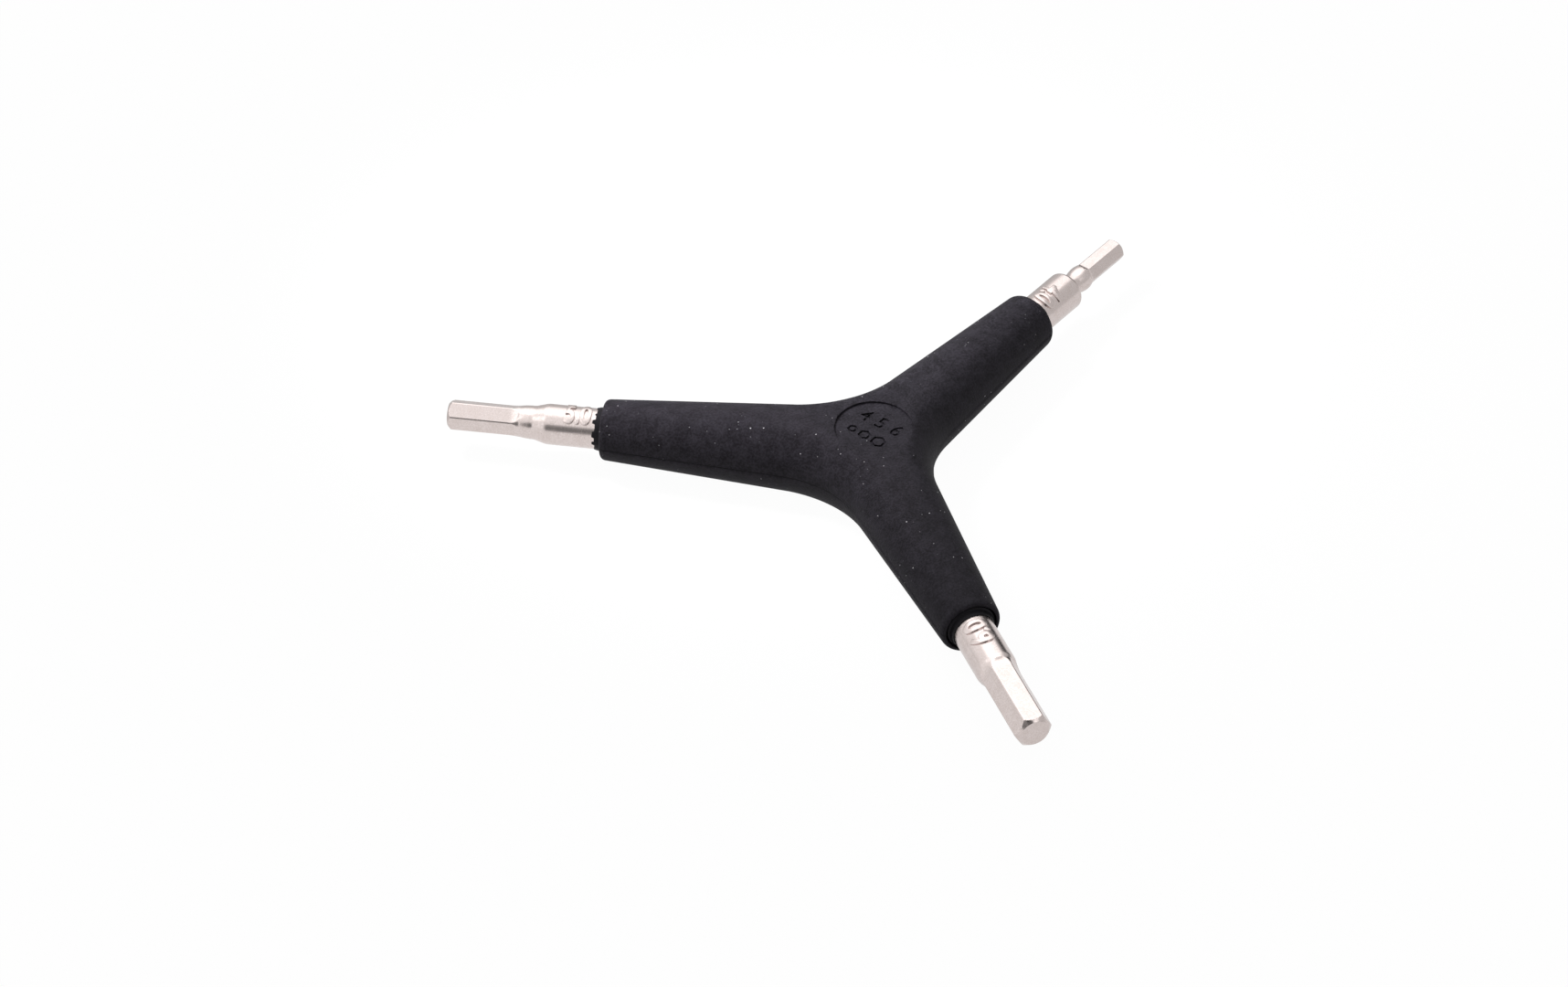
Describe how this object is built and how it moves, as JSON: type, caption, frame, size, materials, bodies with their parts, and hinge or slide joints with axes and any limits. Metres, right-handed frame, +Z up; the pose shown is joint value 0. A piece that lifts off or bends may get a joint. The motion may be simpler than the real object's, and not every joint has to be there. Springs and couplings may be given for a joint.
{
  "type": "y wrench",
  "caption": "Y-shaped wrench: hexagon keys of different sizes stand out of the arms of a soft moulded handle, to turn socket-head screws.",
  "frame": {"origin": "middle of the flat underside of the handle's hub", "axes": "+Z up, square to the plane of the three keys; the 6 mm key points along -Y, the 4 mm key 30 degrees above +X, the 5 mm key 30 degrees above -X"},
  "size_m": [0.1338, 0.1166, 0.0148],
  "materials": {
    "grip_rubber": "matt, lightly textured",
    "core_plastic": "matt",
    "plated_steel": "satin nickel plating"
  },
  "bodies": {
    "root": {"handle_grip": "grip_rubber", "handle_core": "core_plastic", "hex_key_4mm": "plated_steel", "hex_key_5mm": "plated_steel", "hex_key_6mm": "plated_steel"}
  },
  "joints": []
}
